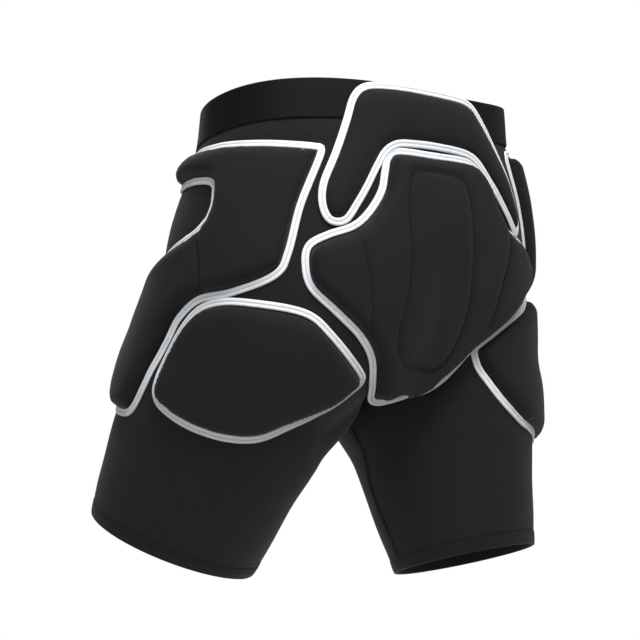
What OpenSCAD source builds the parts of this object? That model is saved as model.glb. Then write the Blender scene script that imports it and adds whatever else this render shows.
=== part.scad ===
// Padded impact shorts, worn under ski trousers: stretch fabric shell, elastic
// waistband and six foam pads with bound edges. Wearer faces -Y, left is +X,
// up is +Z, and the origin is the centre of the waist opening. All in mm.
// The legs stand in a stride: the left thigh forward, the right thigh back.

/* [Size] */
// half width of the waist opening, side to side
waist_half_w = 155; // [150:1:160]
// half depth of the waist opening, front to back
waist_half_d = 108; // [104:1:112]
// half width at the hips
hip_half_w = 189; // [185:1:192]
// depth from the hip line to the seat
seat_half_d = 142; // [138:1:145]
// depth from the hip line to the front
front_half_d = 122; // [119:1:125]
// height from the waist opening down to the crotch
rise = 251; // [247:1:255]
// length from the crotch to the hem
inseam = 156; // [150:1:162]
// half width of the thigh at the crotch
thigh_half_w = 94; // [92:1:96]
// half width of the leg opening
hem_half_w = 73; // [70:1:75]
// half depth of the leg opening
hem_half_d = 69; // [66:1:72]

/* [Stride] */
// how far the left thigh swings forward, in degrees
left_swing = 23; // [20:1:25]
// how far the right thigh swings forward, in degrees
right_swing = -12; // [-13:1:-8]
// how far the left thigh spreads outward, in degrees
left_spread = 8; // [6:1:9]
// how far the right thigh spreads outward, in degrees
right_spread = 5.5; // [4:0.5:7]

/* [Fabric] */
// thickness of the shell fabric
fabric_t = 1.5; // [1.2:0.1:1.8]
// height of the elastic waistband
band_h = 34; // [32:1:36]
// height of the folded hem
hem_h = 13; // [11:1:15]
// clearance between neighbouring layers
layer_gap = 0.4; // [0.3:0.1:0.5]

/* [Pads] */
// thickness of the seat pad
seat_pad_t = 16; // [13:1:18]
// thickness of the waist pad
waist_pad_t = 11; // [9:1:13]
// thickness of the hip pads
hip_pad_t = 15; // [12:1:17]
// thickness of the rear thigh pads
thigh_pad_t = 14; // [12:1:16]
// radius that rounds the pads at their edges
edge_r = 11; // [9:1:13]
// thickness of the fabric over the pads
cover_t = 1.4; // [1.2:0.1:1.6]
// width of the edge binding
binding_w = 3.2; // [2.8:0.1:3.8]
// height of the edge binding
binding_h = 2.6; // [2.2:0.1:3]

/* [Hidden] */

// level at which the two halves begin to part into legs
fork = 92;
// lowest level, at the hem
foot = rise + inseam;
// the hip axis: how far out, forward and down it runs
hip = [85, -20, -179];
// how far the waist opening sits behind the hips
lean = 20;
// slope of the waist opening, sideways and front to back
tilt = [0.06, 0.16];
// how much higher the waist opening runs over the left and the right side
lifted = [3, 20];
// levels between which the swing of the thigh takes hold
swing_from = 98;
swing_to = 255;
// left and right thighs: fullness of the thigh and flare of the hem
full = [1.10, 0.97];
flare = [1.08, 0.95];
// lowest level of the part of the shell that stays with the hips
shell_low = 118;
shell_low_back = 150;
// highest level of the part of the shell that stays with the thigh
leg_top = rise + 2;
// columns and rows of the shell's mesh
cols = 28;

// level, half width, half depth in front, half depth behind
body_rows = [
    [0, waist_half_w, waist_half_d, waist_half_d],
    [40, waist_half_w + 4, waist_half_d + 4, waist_half_d + 6],
    [85, hip_half_w - 14, front_half_d - 5, seat_half_d - 15],
    [130, hip_half_w - 4, front_half_d - 2, seat_half_d - 4],
    [178, hip_half_w, front_half_d, seat_half_d],
    [215, hip_half_w - 2, front_half_d - 1, seat_half_d - 6],
    [rise, hip_half_w - 11, front_half_d - 7, seat_half_d - 25]];
// level, gap to the centre plane, half width, middle, half depth
leg_rows = [
    [fork, 0, thigh_half_w, 2, 118],
    [175, 0, thigh_half_w + 2, 4, 116],
    [rise, 0.8, thigh_half_w, 2, 97],
    [rise + 0.33 * inseam, 9, thigh_half_w - 8, 0, 90],
    [rise + 0.7 * inseam, 16, hem_half_w + 6, -2, hem_half_d + 11],
    [foot, 21.5, hem_half_w, -3, hem_half_d]];

// smooth step from 0 at a to 1 at b
function ease(a, b, x) =
    let (t = min(1, max(0, (x - a) / (b - a))))
    t * t * (3 - 2 * t);

// slope of a table's column k at row i
function slope(rows, k, i) =
    let (a = max(0, i - 1), b = min(len(rows) - 1, i + 1))
    (rows[b][k] - rows[a][k]) / (rows[b][0] - rows[a][0]);

// row of a table that level x falls in
function row_at(rows, x) =
    max([0, for (i = [0:len(rows) - 2]) if (rows[i][0] <= x) i]);

// smooth value of a table's column k at level x
function at(rows, k, x) =
    let (c = min(rows[len(rows) - 1][0], max(rows[0][0], x)))
    let (i = row_at(rows, c))
    let (h = rows[i + 1][0] - rows[i][0])
    let (t = (c - rows[i][0]) / h)
    (2 * t * t * t - 3 * t * t + 1) * rows[i][k]
    + (t * t * t - 2 * t * t + t) * h * slope(rows, k, i)
    + (3 * t * t - 2 * t * t * t) * rows[i + 1][k]
    + (t * t * t - t * t) * h * slope(rows, k, i + 1);

// a power that keeps its sign
function bow(x) = sign(x) * pow(abs(x), 0.92);

// half garment before the stride: s runs 0 at the front centre or inseam,
// over the side at 0.5, to 1 at the back centre; d is the level below the waist
function ring(s, d) =
    let (u = min(1, max(0, (d - fork) / (rise - fork))))
    let (w = 1 - sqrt(max(0, 1 - u * u)))
    let (c = cos(180 * s))
    let (bx = at(body_rows, 1, d) * bow(sin(180 * s)))
    let (by = -bow(c) * at(body_rows, c > 0 ? 2 : 3, d))
    let (lr = at(leg_rows, 2, d))
    let (lx = at(leg_rows, 1, d) + lr - lr * cos(360 * s))
    let (ly = at(leg_rows, 3, d) - at(leg_rows, 4, d) * sin(360 * s))
    [0.25 + (1 - w) * bx + w * lx, (1 - w) * by + w * ly, -d];

// the same, but drawn straight across the cleft behind
function taut(s, d) =
    let (p = ring(s, d))
    s <= 0.7 ? p
    : [p[0], max([for (k = [0:10]) ring(0.7 + (s - 0.7) * k / 10, d)[1]]), p[2]];

// puts a point of the half garment in its stride; side is 1 left, -1 right
function stride(p, side) =
    let (n = side > 0 ? 0 : 1)
    let (d = -p[2])
    let (w = ease(swing_from, swing_to, d)
        * (1 - (1 - ease(0, 60, p[0])) * (1 - ease(rise, rise + 50, d))))
    let (cx = at(leg_rows, 1, d) + at(leg_rows, 2, d))
    let (cy = at(leg_rows, 3, d))
    let (k = 1 + (flare[n] - 1) * ease(rise, foot, d))
    let (x = d > rise ? cx + (p[0] - cx) * k : p[0])
    let (y0 = d > rise ? cy + (p[1] - cy) * k : p[1])
    let (y = cy + (y0 - cy) * (1 + (full[n] - 1) * ease(150, rise, d) * ease(0, 70, x)))
    let (a = w * (side > 0 ? left_swing : right_swing))
    let (b = w * (side > 0 ? left_spread : right_spread))
    let (dz = p[2] - hip[2])
    let (y2 = y * cos(a) + dz * sin(a))
    let (z2 = -y * sin(a) + dz * cos(a))
    let (dx = x - hip[0])
    let (fade = 1 - ease(0, 190, d))
    [side * (hip[0] + dx * cos(b) - z2 * sin(b)),
        y2 - lean + lean * fade,
        hip[2] + dx * sin(b) + z2 * cos(b)
            + fade * (tilt[1] * y + tilt[0] * x * side + lifted[n] * pow(x / 130, 2))];

function unit(v) = v / max(norm(v), 1e-9);

// point of the shell, lifted off it by h along its outward normal
function skin(side, s, d, h) =
    let (p = stride(ring(s, d), side))
    let (e = s > 0.5 ? -0.004 : 0.004)
    let (f = d > rise / 2 ? -1 : 1)
    let (a = (stride(ring(s + e, d), side) - p) * sign(e))
    let (b = (stride(ring(s, d + f), side) - p) * f)
    p + h * side * unit(cross(b, a));

// signed distance round the back, t > 0 on the left, to a point of the pads there
function back(t, d) = stride(taut(1 - abs(t), d), t < 0 ? -1 : 1);
function back_skin(t, d, h) =
    let (a = back(t + 0.012, d) - back(t - 0.012, d))
    let (b = back(t, d + 2) - back(t, d - 2))
    back(t, d) + h * unit(cross(a, b));

// smooth curve through control points, at parameter u in index units
function curve(c, u) =
    let (n = len(c) - 1)
    let (i = min(n - 1, max(0, floor(u))))
    let (t = u - i)
    let (p0 = c[max(0, i - 1)])
    let (p1 = c[i])
    let (p2 = c[i + 1])
    let (p3 = c[min(n, i + 2)])
    0.5 * (2 * p1 + (p2 - p0) * t + (2 * p0 - 5 * p1 + 4 * p2 - p3) * t * t
        + (3 * p1 - p0 - 3 * p2 + p3) * t * t * t);

// rails of each pad: [s or t, level] down one edge and down the other
seat_left = [[0.085, 58], [0.105, 64], [0.111, 76], [0.117, 91], [0.137, 106],
    [0.167, 117], [0.215, 124], [0.248, 131], [0.256, 142], [0.245, 156],
    [0.200, 168], [0.150, 180], [0.117, 193], [0.101, 210], [0.095, 226],
    [0.080, 238], [0.030, 246]];
seat_right = [[-0.045, 56], [-0.075, 60], [-0.100, 73], [-0.122, 95], [-0.152, 109],
    [-0.197, 115], [-0.240, 122], [-0.271, 133], [-0.279, 147], [-0.256, 166],
    [-0.212, 189], [-0.170, 209], [-0.138, 224], [-0.112, 235], [-0.092, 242],
    [-0.065, 246], [-0.030, 248]];
waist_outer = [[0.209, 112], [0.219, 102], [0.221, 88], [0.208, 65], [0.190, 35],
    [0.176, 16], [0.150, 6], [0.100, 3], [0.030, 2], [-0.040, 2],
    [-0.078, 6], [-0.104, 16], [-0.148, 38], [-0.184, 62], [-0.200, 84],
    [-0.206, 100], [-0.200, 107]];
waist_inner = [[0.197, 115.5], [0.179, 112.5], [0.160, 101], [0.144, 88], [0.126, 71],
    [0.110, 59], [0.086, 52], [0.050, 50], [0.010, 49], [-0.030, 49],
    [-0.062, 51], [-0.086, 57], [-0.113, 72], [-0.143, 88], [-0.165, 99],
    [-0.181, 107], [-0.190, 110.5]];
hip_outer = [[0.325, 58], [0.350, 48], [0.420, 45], [0.505, 48], [0.605, 53],
    [0.700, 57], [0.750, 59], [0.764, 61], [0.758, 75], [0.736, 105], [0.714, 136],
    [0.690, 151], [0.610, 166], [0.545, 176], [0.513, 196], [0.504, 222],
    [0.498, 248], [0.490, 275], [0.474, 298], [0.435, 306]];
right_hip_outer = [[0.325, 58], [0.350, 48], [0.420, 45], [0.505, 46], [0.605, 45],
    [0.700, 43], [0.750, 43], [0.766, 46], [0.762, 62], [0.741, 97], [0.717, 133],
    [0.690, 151], [0.610, 166], [0.545, 176], [0.513, 196], [0.504, 222],
    [0.498, 248], [0.490, 275], [0.474, 298], [0.435, 306]];
hip_inner = [[0.325, 63], [0.350, 70], [0.430, 73], [0.480, 75], [0.515, 78],
    [0.532, 81], [0.540, 84], [0.544, 87], [0.548, 93], [0.550, 100], [0.546, 107],
    [0.538, 112], [0.505, 122], [0.420, 136], [0.350, 152], [0.312, 180],
    [0.308, 215], [0.330, 250], [0.370, 288], [0.410, 305]];
left_thigh_top = [[0.515, 246], [0.517, 228], [0.525, 206], [0.541, 189], [0.565, 179],
    [0.605, 173], [0.665, 171], [0.725, 171], [0.762, 174], [0.798, 183],
    [0.838, 194], [0.864, 201], [0.872, 204]];
left_thigh_low = [[0.515, 256], [0.518, 268], [0.530, 276], [0.553, 280], [0.580, 282],
    [0.610, 282], [0.650, 279], [0.690, 271], [0.735, 253], [0.785, 238],
    [0.828, 226], [0.860, 213], [0.871, 208]];
right_thigh_top = [[0.513, 262], [0.516, 240], [0.524, 213], [0.540, 192], [0.565, 181],
    [0.605, 174], [0.655, 171], [0.700, 175], [0.735, 187], [0.775, 199],
    [0.810, 212], [0.840, 226], [0.849, 231]];
right_thigh_low = [[0.513, 275], [0.517, 292], [0.532, 303], [0.558, 309], [0.590, 312],
    [0.630, 311], [0.670, 309], [0.708, 303], [0.745, 288], [0.785, 264],
    [0.815, 250], [0.840, 239], [0.849, 234]];

// a pad is [kind, rail, rail, thickness, lift, cut at start, cut at end, mm per index,
// rows across its middle, closed ends]
// kind 0 lies across the back, 1 on the left half, -1 on the right half
seat = [0, seat_left, seat_right, seat_pad_t, 1.9, 1.3, 1.8, 13, 4, 0];
waist = [0, waist_outer, waist_inner, waist_pad_t, 2.3, 0.8, 0.8, 17, 1, 1];
left_hip = [1, hip_outer, hip_inner, hip_pad_t, 1.9, 0.8, 0.7, 17, 2, 1];
right_hip = [-1, right_hip_outer, hip_inner, hip_pad_t, 1.9, 0.8, 0.7, 17, 2, 1];
left_thigh = [1, left_thigh_top, left_thigh_low, thigh_pad_t, 1.9, 2.2, 1.3, 13, 3, 1];
right_thigh = [-1, right_thigh_top, right_thigh_low, thigh_pad_t, 1.9, 2.2, 1.3, 13, 3, 1];

// point of a pad at (u along, q across), lifted by h off the shell
function on_pad(pad, u, q, h) =
    let (a = curve(pad[1], u))
    let (b = curve(pad[2], u))
    let (c = a + (b - a) * q)
    pad[0] == 0 ? back_skin(c[0], c[1], pad[4] + h)
    : skin(pad[0], c[0], c[1], pad[4] + h);

// width of a pad at u
function span(pad, u) = norm(on_pad(pad, u, 0, 0) - on_pad(pad, u, 1, 0));

// rounded rise of a pad at x from its edge
function dome(x) =
    let (t = min(1, max(0, x / edge_r)))
    sqrt(t * (2 - t));

// how far the cover's edge stands in from the binding's middle
inset = binding_w / 2 + 2.2;
// distances of the first rows from a cover's edge
steps = [0, cover_t, 3.2, 6, edge_r];

// share of a distance across a pad that counts towards the edge at q, less where
// the rail runs along the rows
function slant(pad, u, q) =
    let (t = unit(on_pad(pad, u + 0.1, q, 0) - on_pad(pad, u - 0.1, q, 0)))
    let (a = on_pad(pad, u, 1, 0) - on_pad(pad, u, 0, 0))
    min(1, max(0.25, 2.6 * inset / norm(a), norm(cross(t, unit(a)))));

// a row of a pad at u: [width, slant at the first rail, slant at the second]
function row(pad, u) = [span(pad, u), slant(pad, u, 0), slant(pad, u, 1)];

// parameters of a cover's rows along a pad
function rows_along(pad) =
    let (a = pad[5])
    let (b = len(pad[1]) - 1 - pad[6])
    let (m = pad[7])
    let (lo = a + edge_r / m)
    let (hi = b - edge_r / m)
    let (n = round(hi - lo) * 1.5)
    [for (x = steps) a + x / m,
        for (i = [1:n - 1]) lo + (hi - lo) * i / n,
        for (i = [len(steps) - 1:-1:0]) b - steps[i] / m];

// distances of a cover's n rows across a pad's row r, scaled down where it is narrow
function rows_across(r, n) =
    let (room = r[0] / 2 - 0.5)
    let (ka = min(1, max(0.1, room * r[1] - inset) / edge_r))
    let (kb = min(1, max(0.1, room * r[2] - inset) / edge_r))
    let (a = (inset + edge_r * ka) / r[1])
    let (b = r[0] - (inset + edge_r * kb) / r[2])
    [for (x = steps) (inset + x * ka) / r[1],
        for (i = [1:n]) a + (b - a) * i / (n + 1),
        for (i = [len(steps) - 1:-1:0]) r[0] - (inset + steps[i] * kb) / r[2]];

// distance from a cover's nearer long edge at x across the pad's row r
function side_room(r, x) = min(x * r[1], (r[0] - x) * r[2]) - inset;

// distance from the ends of a pad's cover
function end_room(pad, u) =
    min(u - pad[5], len(pad[1]) - 1 - pad[6] - u) * pad[7];

// heights of a cover's outside and inside at distances x across and y along
function outside_h(pad, x, y) = cover_t + (pad[3] - cover_t) * dome(x) * dome(y);
function inside_h(pad, x, y) =
    (pad[3] - cover_t) * dome(x - cover_t) * dome(y - cover_t);

// closed solid between two grids of points of the same size
module slab(top, low) {
    m = len(top);
    n = len(top[0]);
    all = [for (g = [top, low]) for (r = g) for (p = r) p];
    function id(g, i, j) = g * m * n + i * n + j;
    function pair(a, b, c, d) = [[a, b, c], [a, c, d]];
    faces = [
        for (i = [0:m - 2]) for (j = [0:n - 2])
            for (f = pair(id(0, i, j), id(0, i, j + 1), id(0, i + 1, j + 1), id(0, i + 1, j))) f,
        for (i = [0:m - 2]) for (j = [0:n - 2])
            for (f = pair(id(1, i, j), id(1, i + 1, j), id(1, i + 1, j + 1), id(1, i, j + 1))) f,
        for (i = [0:m - 2])
            for (f = pair(id(0, i, 0), id(0, i + 1, 0), id(1, i + 1, 0), id(1, i, 0))) f,
        for (i = [0:m - 2])
            for (f = pair(id(0, i + 1, n - 1), id(0, i, n - 1), id(1, i, n - 1), id(1, i + 1, n - 1))) f,
        for (j = [0:n - 2])
            for (f = pair(id(0, 0, j + 1), id(0, 0, j), id(1, 0, j), id(1, 0, j + 1))) f,
        for (j = [0:n - 2])
            for (f = pair(id(0, m - 1, j), id(0, m - 1, j + 1), id(1, m - 1, j + 1), id(1, m - 1, j))) f];
    polyhedron(points = all, faces = faces, convexity = 8);
}

// closed solid swept round a loop of sections, each the same closed outline
module loop(sections) {
    m = len(sections);
    n = len(sections[0]);
    faces = [for (i = [0:m - 1]) for (j = [0:n - 1])
        let (a = i * n + j)
        let (b = i * n + (j + 1) % n)
        let (c = ((i + 1) % m) * n + (j + 1) % n)
        let (d = ((i + 1) % m) * n + j)
        for (f = [[a, b, c], [a, c, d]]) f];
    polyhedron(points = [for (s = sections) for (p = s) p], faces = faces, convexity = 8);
}

// a pad's fabric cover: a rounded cap, open towards the shell
module cover(pad) {
    us = rows_along(pad);
    grids = [for (h = [0, 1]) [for (u = us)
        let (r = row(pad, u))
        let (y = end_room(pad, u))
        [for (x = rows_across(r, pad[8]))
            let (e = side_room(r, x))
            on_pad(pad, u, x / r[0], h == 0 ? outside_h(pad, e, y) : inside_h(pad, e, y))]]];
    if (pad[0] < 0) slab(grids[0], grids[1]);
    else slab(grids[1], grids[0]);
}

// a block of foam in a pad along rows of [u, first share, last share], n cells across
module foam(pad, rows, n) {
    grids = [for (h = [0, 1]) [for (f = rows)
        let (r = row(pad, f[0]))
        let (y = end_room(pad, f[0]))
        [for (j = [0:n])
            let (q = f[1] + (f[2] - f[1]) * j / n)
            let (e = side_room(r, q * r[0]))
            on_pad(pad, f[0], q,
                h == 0 ? max(1.6, foam_fill * inside_h(pad, e - foam_in / 2, y)) : 0.5)]]];
    if (pad[0] < 0) slab(grids[0], grids[1]);
    else slab(grids[1], grids[0]);
}

// how far foam keeps from a cover's edge, and the share of the inner height it fills
foam_in = 7.5;
foam_fill = 0.68;

// shares across a pad at u that keep foam clear of the cover's rounded edges
function foam_lo(pad, u) =
    let (r = row(pad, u))
    min(0.42, (inset + foam_in) / r[1] / r[0]);
function foam_hi(pad, u) =
    let (r = row(pad, u))
    1 - min(0.42, (inset + foam_in) / r[2] / r[0]);

// rows of a pad's single foam block
function foam_rows(pad, n) =
    let (a = pad[5] + 9 / pad[7])
    let (b = len(pad[1]) - 1 - pad[6] - 9 / pad[7])
    [for (i = [0:n])
        let (u = a + (b - a) * i / n)
        [u, foam_lo(pad, u), foam_hi(pad, u)]];

// a pad's edge binding: a low strip that follows both rails and both ends
module binding(pad, per) {
    n = len(pad[1]) - 1;
    path = [
        for (i = [0:n * per]) [i / per, 0],
        for (k = [1:3]) if (pad[9] == 0 && k < 3) [n, k / 3],
        for (i = [n * per:-1:0]) [i / per, 1],
        for (k = [1:3]) if (pad[9] == 0 && k < 3) [0, 1 - k / 3]];
    m = len(path);
    low = [for (p = path) on_pad(pad, p[0], p[1], 0)];
    up = [for (p = path) on_pad(pad, p[0], p[1], 1)];
    sections = [for (i = [0:m - 1])
        let (t = unit(low[(i + 1) % m] - low[(i + m - 1) % m]))
        let (z = up[i] - low[i])
        let (x = unit(cross(t, z)))
        let (w = binding_w / 2)
        [low[i] - w * x, low[i] + w * x, low[i] + w * x + 0.55 * binding_h * z,
            low[i] + binding_h * z, low[i] - w * x + 0.55 * binding_h * z]];
    loop(sections);
}

// a band of shell round one half, between levels lo(s) and hi(s)
module panel(side, lo, hi, rows, t) {
    grids = [for (h = [0, -t]) [for (i = [0:rows]) [for (j = [0:cols])
        let (s = j / cols)
        let (d = lo[j] + (hi[j] - lo[j]) * (1 - pow(1 - i / rows, 1.35)))
        skin(side, s, d, h)]]];
    if (side > 0) slab(grids[0], grids[1]);
    else slab(grids[1], grids[0]);
}

// a closed tube round one leg, between two levels
module sleeve(side, lo, hi, rows, out, t) {
    sections = [for (j = [0:cols * 1 - 1])
        let (s = (j + 0.5) / cols)
        [for (i = [0:rows]) skin(side, s, lo + (hi - lo) * i / rows, out),
            for (i = [rows:-1:0]) skin(side, s, lo + (hi - lo) * i / rows, out - t)]];
    if (side > 0) loop([for (j = [cols - 1:-1:0]) sections[j]]);
    else loop(sections);
}

// a ring right round the waist, between two levels
module hoop(lo, hi, out, t) {
    n = 24;
    sections = [for (side = [1, -1]) for (j = [0:n - 1])
        let (s = side > 0 ? (j + 0.5) / n : 1 - (j + 0.5) / n)
        [skin(side, s, lo, out), skin(side, s, (lo + hi) / 2, out), skin(side, s, hi, out),
            skin(side, s, hi, out - t), skin(side, s, (lo + hi) / 2, out - t),
            skin(side, s, lo, out - t)]];
    loop([for (j = [len(sections) - 1:-1:0]) sections[j]]);
}

// lower edge of the part of the shell that stays with the hips
function shell_edge(s) = shell_low + (shell_low_back - shell_low) * ease(0.45, 0.75, s);
pelvis_lo = [for (j = [0:cols]) band_h + 1];
pelvis_hi = [for (j = [0:cols]) shell_edge(j / cols)];
stretch_lo = [for (j = [0:cols]) shell_edge(j / cols) + layer_gap];
stretch_hi = [for (j = [0:cols]) rise - 1];

module waistband_face() color([0.09, 0.09, 0.11]) hoop(0, band_h, 0.8, 1);
module waistband_elastic() color([0.75, 0.75, 0.72]) hoop(1.5, band_h - 1.5, -0.6, 1);
module waistband_lining() color([0.14, 0.14, 0.15]) hoop(0, band_h, -2, 0.8);

module left_pelvis_shell() color([0.13, 0.13, 0.14])
    panel(1, pelvis_lo, pelvis_hi, 6, fabric_t);
module right_pelvis_shell() color([0.13, 0.13, 0.14])
    panel(-1, pelvis_lo, pelvis_hi, 6, fabric_t);
module left_stretch_panel() color([0.15, 0.15, 0.16])
    panel(1, stretch_lo, stretch_hi, 9, fabric_t);
module right_stretch_panel() color([0.15, 0.15, 0.16])
    panel(-1, stretch_lo, stretch_hi, 9, fabric_t);

module left_leg_shell() color([0.13, 0.13, 0.14])
    sleeve(1, leg_top, foot - hem_h - layer_gap, 7, 0, fabric_t);
module right_leg_shell() color([0.13, 0.13, 0.14])
    sleeve(-1, leg_top, foot - hem_h - layer_gap, 7, 0, fabric_t);
module left_hem_band() color([0.11, 0.11, 0.12])
    sleeve(1, foot - hem_h, foot, 2, 0.3, fabric_t + 1);
module right_hem_band() color([0.11, 0.11, 0.12])
    sleeve(-1, foot - hem_h, foot, 2, 0.3, fabric_t + 1);

// share across the seat pad at u of a line at t from the back's centre
function seat_share(u, t) =
    let (a = curve(seat_left, u)[0])
    let (b = curve(seat_right, u)[0])
    (a - t) / (a - b);
// half width of the tall centre block, as a share of the half garment
column_t = 0.062;
centre_rows = [for (u = [2.6:0.75:13.1])
    [u, max(foam_lo(seat, u), seat_share(u, column_t)),
        min(foam_hi(seat, u), seat_share(u, -column_t))]];
// rows that the two side blocks cover
side_us = [6:0.5:10.5];
left_rows = [for (u = side_us) [u, foam_lo(seat, u), seat_share(u, column_t + 0.008)]];
right_rows = [for (u = side_us) [u, seat_share(u, -column_t - 0.008), foam_hi(seat, u)]];

module seat_pad_cover() color([0.16, 0.16, 0.17]) cover(seat);
module seat_pad_foam_centre() color([0.93, 0.80, 0.35]) foam(seat, centre_rows, 5);
module seat_pad_foam_left() color([0.93, 0.80, 0.35]) foam(seat, left_rows, 6);
module seat_pad_foam_right() color([0.93, 0.80, 0.35]) foam(seat, right_rows, 6);
module seat_pad_binding() color([0.93, 0.93, 0.95]) binding(seat, 2);
module waist_pad_cover() color([0.16, 0.16, 0.17]) cover(waist);
module waist_pad_foam() color([0.93, 0.80, 0.35]) foam(waist, foam_rows(waist, 20), 4);
module waist_pad_binding() color([0.93, 0.93, 0.95]) binding(waist, 2);
module left_hip_pad_cover() color([0.16, 0.16, 0.17]) cover(left_hip);
module left_hip_pad_foam() color([0.93, 0.80, 0.35]) foam(left_hip, foam_rows(left_hip, 24), 5);
module left_hip_pad_binding() color([0.93, 0.93, 0.95]) binding(left_hip, 2);
module right_hip_pad_cover() color([0.16, 0.16, 0.17]) cover(right_hip);
module right_hip_pad_foam() color([0.93, 0.80, 0.35]) foam(right_hip, foam_rows(right_hip, 24), 5);
module right_hip_pad_binding() color([0.93, 0.93, 0.95]) binding(right_hip, 2);
module left_thigh_pad_cover() color([0.16, 0.16, 0.17]) cover(left_thigh);
module left_thigh_pad_foam() color([0.93, 0.80, 0.35]) foam(left_thigh, foam_rows(left_thigh, 14), 7);
module left_thigh_pad_binding() color([0.93, 0.93, 0.95]) binding(left_thigh, 2);
module right_thigh_pad_cover() color([0.16, 0.16, 0.17]) cover(right_thigh);
module right_thigh_pad_foam() color([0.93, 0.80, 0.35]) foam(right_thigh, foam_rows(right_thigh, 14), 7);
module right_thigh_pad_binding() color([0.93, 0.93, 0.95]) binding(right_thigh, 2);

waistband_face();
waistband_elastic();
waistband_lining();
left_pelvis_shell();
right_pelvis_shell();
left_stretch_panel();
right_stretch_panel();
left_leg_shell();
right_leg_shell();
left_hem_band();
right_hem_band();
seat_pad_cover();
seat_pad_foam_centre();
seat_pad_foam_left();
seat_pad_foam_right();
seat_pad_binding();
waist_pad_cover();
waist_pad_foam();
waist_pad_binding();
left_hip_pad_cover();
left_hip_pad_foam();
left_hip_pad_binding();
right_hip_pad_cover();
right_hip_pad_foam();
right_hip_pad_binding();
left_thigh_pad_cover();
left_thigh_pad_foam();
left_thigh_pad_binding();
right_thigh_pad_cover();
right_thigh_pad_foam();
right_thigh_pad_binding();
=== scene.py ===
import math
import bpy
import bmesh
import numpy as np
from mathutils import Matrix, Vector
from mathutils.geometry import delaunay_2d_cdt


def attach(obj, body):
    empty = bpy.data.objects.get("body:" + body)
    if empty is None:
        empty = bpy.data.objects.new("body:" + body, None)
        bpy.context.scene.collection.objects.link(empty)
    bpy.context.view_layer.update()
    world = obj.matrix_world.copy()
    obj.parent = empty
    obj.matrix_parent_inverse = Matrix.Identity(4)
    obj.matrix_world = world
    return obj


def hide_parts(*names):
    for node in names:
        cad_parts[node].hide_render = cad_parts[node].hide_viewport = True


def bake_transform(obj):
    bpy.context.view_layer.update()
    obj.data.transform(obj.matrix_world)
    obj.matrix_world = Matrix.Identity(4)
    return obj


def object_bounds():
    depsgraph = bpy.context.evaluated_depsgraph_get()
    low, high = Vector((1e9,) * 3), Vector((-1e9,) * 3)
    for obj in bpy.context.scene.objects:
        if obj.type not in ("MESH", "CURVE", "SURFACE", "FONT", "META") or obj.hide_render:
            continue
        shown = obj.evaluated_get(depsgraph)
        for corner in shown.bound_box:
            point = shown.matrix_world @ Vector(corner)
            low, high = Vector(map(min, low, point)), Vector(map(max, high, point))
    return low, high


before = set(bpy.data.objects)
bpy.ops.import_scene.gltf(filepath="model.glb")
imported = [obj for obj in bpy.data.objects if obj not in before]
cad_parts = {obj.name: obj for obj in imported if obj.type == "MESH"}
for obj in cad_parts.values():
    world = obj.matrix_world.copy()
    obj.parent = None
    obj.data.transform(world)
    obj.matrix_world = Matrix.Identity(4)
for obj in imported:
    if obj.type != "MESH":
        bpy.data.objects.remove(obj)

cad_box = [list(map(float, c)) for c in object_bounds()]
MM = 0.001

# ---------------------------------------------------------------- the body form
# The same half-garment form as the CAD's, in mm: s runs from the front centre (0)
# over the side (0.5) to the back centre (1), d is the level below the waist.
FORK, RISE, INSEAM = 92.0, 251.0, 156.0
FOOT = RISE + INSEAM
BAND = 34.0
HEM = 13.0
HIP = np.array([85.0, -20.0, -179.0])
LEAN = 20.0
TILT = (0.06, 0.16)
# by side, left 1 and right -1: how much higher the waist runs at the side in mm, the thigh's
# swing and spread in degrees, and how full the thigh and the leg's opening are
LIFTED = {1: 3.0, -1: 20.0}
SWING = {1: 23.0, -1: -12.0}
SPREAD = {1: 8.0, -1: 5.5}
FULL = {1: 1.10, -1: 0.97}
FLARE = {1: 1.08, -1: 0.95}
TURN_TOP, TURN_END = 98, 255      # the cloth starts and ends turning with the thigh at these levels
SLANT_END = 190                   # below this level the waist's slant has run out
INNER_FULL, INNER_AT = 6.0, 297   # how much fuller the left thigh is inside, and at what level
INNER_UP, INNER_DOWN = 10, 27     # how far that reaches
# rows of (level, half width, front depth, back depth)
BODY = np.array([
    [0, 155, 108, 108], [40, 159, 112, 114], [85, 175, 117, 127], [130, 185, 120, 138],
    [178, 189, 122, 142], [215, 187, 121, 136], [RISE, 178, 115, 117]], float)
# rows of (level, gap to the middle, half width, centre's place behind, half depth)
LEG = np.array([
    [FORK, 0, 94, 2, 118], [175, 0, 96, 4, 116], [RISE, 0.8, 94, 2, 97],
    [RISE + 0.33 * INSEAM, 9, 86, 0, 90], [RISE + 0.7 * INSEAM, 16, 79, -2, 80],
    [FOOT, 21.5, 73, -3, 69]], float)


def ease(a, b, x):
    t = np.clip((np.asarray(x, float) - a) / (b - a), 0, 1)
    return t * t * (3 - 2 * t)


def at(rows, k, x):
    """Smooth value of a table's column k at level x."""
    xs, ys = rows[:, 0], rows[:, k]
    m = np.empty(len(xs))
    m[1:-1] = (ys[2:] - ys[:-2]) / (xs[2:] - xs[:-2])
    m[0] = (ys[1] - ys[0]) / (xs[1] - xs[0])
    m[-1] = (ys[-1] - ys[-2]) / (xs[-1] - xs[-2])
    c = np.clip(x, xs[0], xs[-1])
    i = np.clip(np.searchsorted(xs, c, side="right") - 1, 0, len(xs) - 2)
    h = xs[i + 1] - xs[i]
    t = (c - xs[i]) / h
    return ((2 * t**3 - 3 * t**2 + 1) * ys[i] + (t**3 - 2 * t**2 + t) * h * m[i]
            + (3 * t**2 - 2 * t**3) * ys[i + 1] + (t**3 - t**2) * h * m[i + 1])


def parting(d):
    """How far the halves have parted into legs at level d, from 0 to 1."""
    u = np.clip((d - FORK) / (RISE - FORK), 0, 1)
    return 1 - np.sqrt(np.maximum(0, 1 - u * u))


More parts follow.
